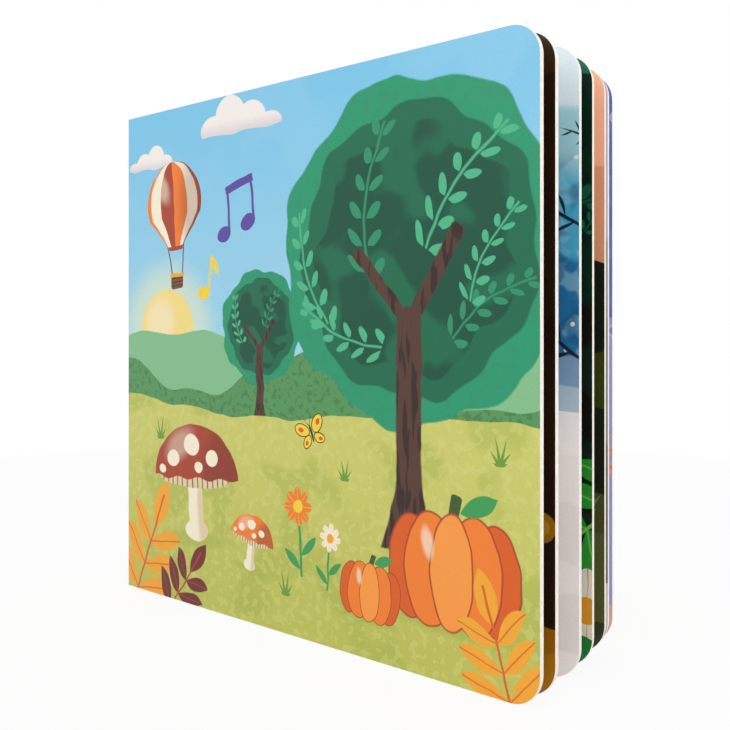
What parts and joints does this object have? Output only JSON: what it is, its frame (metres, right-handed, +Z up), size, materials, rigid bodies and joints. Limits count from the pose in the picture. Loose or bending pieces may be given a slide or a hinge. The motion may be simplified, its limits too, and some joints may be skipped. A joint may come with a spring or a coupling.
{
  "type": "sound book",
  "caption": "Square board book standing open, its thick leaves fanned, with a sound unit and push buttons in a thick back cover.",
  "frame": {"origin": "foot of the glued gutter, on the standing plane, midway through the leaves", "axes": "+Z up the spine, +X square out from the spine towards the fore edges, the front cover on the -Y side"},
  "size_m": [0.1846, 0.1382, 0.18],
  "materials": {
    "cover_print": "printed board under a gloss film, white at the cut edges",
    "leaf_print": "printed board under a satin film, white at the cut edges",
    "spine_print": "printed paper under a gloss film",
    "end_page_print": "printed board under a satin film",
    "back_print": "printed board under a gloss film, pale at the cut edges",
    "unit_plastic": "fine moulded grain",
    "door_plastic": "fine moulded grain",
    "circuit_laminate": "green lacquer over copper",
    "chip_resin": "glossy drop of resin",
    "speaker_steel": "pressed and plated",
    "magnet_steel": "plated",
    "cone_paper": "black pressed paper",
    "contact_steel": "nickel plated",
    "cell_steel": "satin can",
    "screw_steel": "zinc plated",
    "battery_lead_insulation": "smooth",
    "speaker_lead_insulation": "smooth",
    "button_red": "matt, soft",
    "button_yellow": "matt, soft",
    "button_green": "matt, soft",
    "button_blue": "matt, soft",
    "button_purple": "matt, soft"
  },
  "bodies": {
    "book_block": {"pages": "leaf_print", "spine": "spine_print"},
    "front": {"front_cover": "cover_print"},
    "back": {"end_page": "end_page_print", "back_cover": "back_print", "front_shell": "unit_plastic", "rear_shell": "unit_plastic", "circuit_board": "circuit_laminate", "sound_chip": "chip_resin", "speaker_basket": "speaker_steel", "speaker_magnet": "magnet_steel", "speaker_cone": "cone_paper", "contact_positive": "contact_steel", "contact_negative": "contact_steel", "cell_link_inner": "contact_steel", "cell_link_outer": "contact_steel", "battery_cell_1": "cell_steel", "battery_cell_2": "cell_steel", "battery_cell_3": "cell_steel", "battery_door": "door_plastic", "door_screw": "screw_steel", "shell_screws": "screw_steel", "battery_leads": "battery_lead_insulation", "speaker_leads": "speaker_lead_insulation"},
    "button_1_key": {"button_1": "button_red"},
    "button_2_key": {"button_2": "button_yellow"},
    "button_3_key": {"button_3": "button_green"},
    "button_4_key": {"button_4": "button_blue"},
    "button_5_key": {"button_5": "button_purple"}
  },
  "joints": [
    {"name": "front_cover_hinge", "type": "hinge", "parent": "book_block", "child": "front", "pos_m": [-0.0014, -0.0057, 0], "axis": [0, 0, -1], "range_deg": [-1.45, 171.5]},
    {"name": "back_cover_hinge", "type": "hinge", "parent": "book_block", "child": "back", "pos_m": [-0.0014, 0.0057, 0], "axis": [0, 0, 1], "range_deg": [-22.5, 150]},
    {"name": "button_1_press", "type": "slide", "parent": "back", "child": "button_1_key", "axis": [-0.5, 0.866, 0], "range_m": [0, 0.001], "stiffness_N_per_m": 1200, "springref_m": -0.0002},
    {"name": "button_2_press", "type": "slide", "parent": "back", "child": "button_2_key", "axis": [-0.5, 0.866, 0], "range_m": [0, 0.001], "stiffness_N_per_m": 1200, "springref_m": -0.0002},
    {"name": "button_3_press", "type": "slide", "parent": "back", "child": "button_3_key", "axis": [-0.5, 0.866, 0], "range_m": [0, 0.001], "stiffness_N_per_m": 1200, "springref_m": -0.0002},
    {"name": "button_4_press", "type": "slide", "parent": "back", "child": "button_4_key", "axis": [-0.5, 0.866, 0], "range_m": [0, 0.001], "stiffness_N_per_m": 1200, "springref_m": -0.0002},
    {"name": "button_5_press", "type": "slide", "parent": "back", "child": "button_5_key", "axis": [-0.5, 0.866, 0], "range_m": [0, 0.001], "stiffness_N_per_m": 1200, "springref_m": -0.0002}
  ]
}
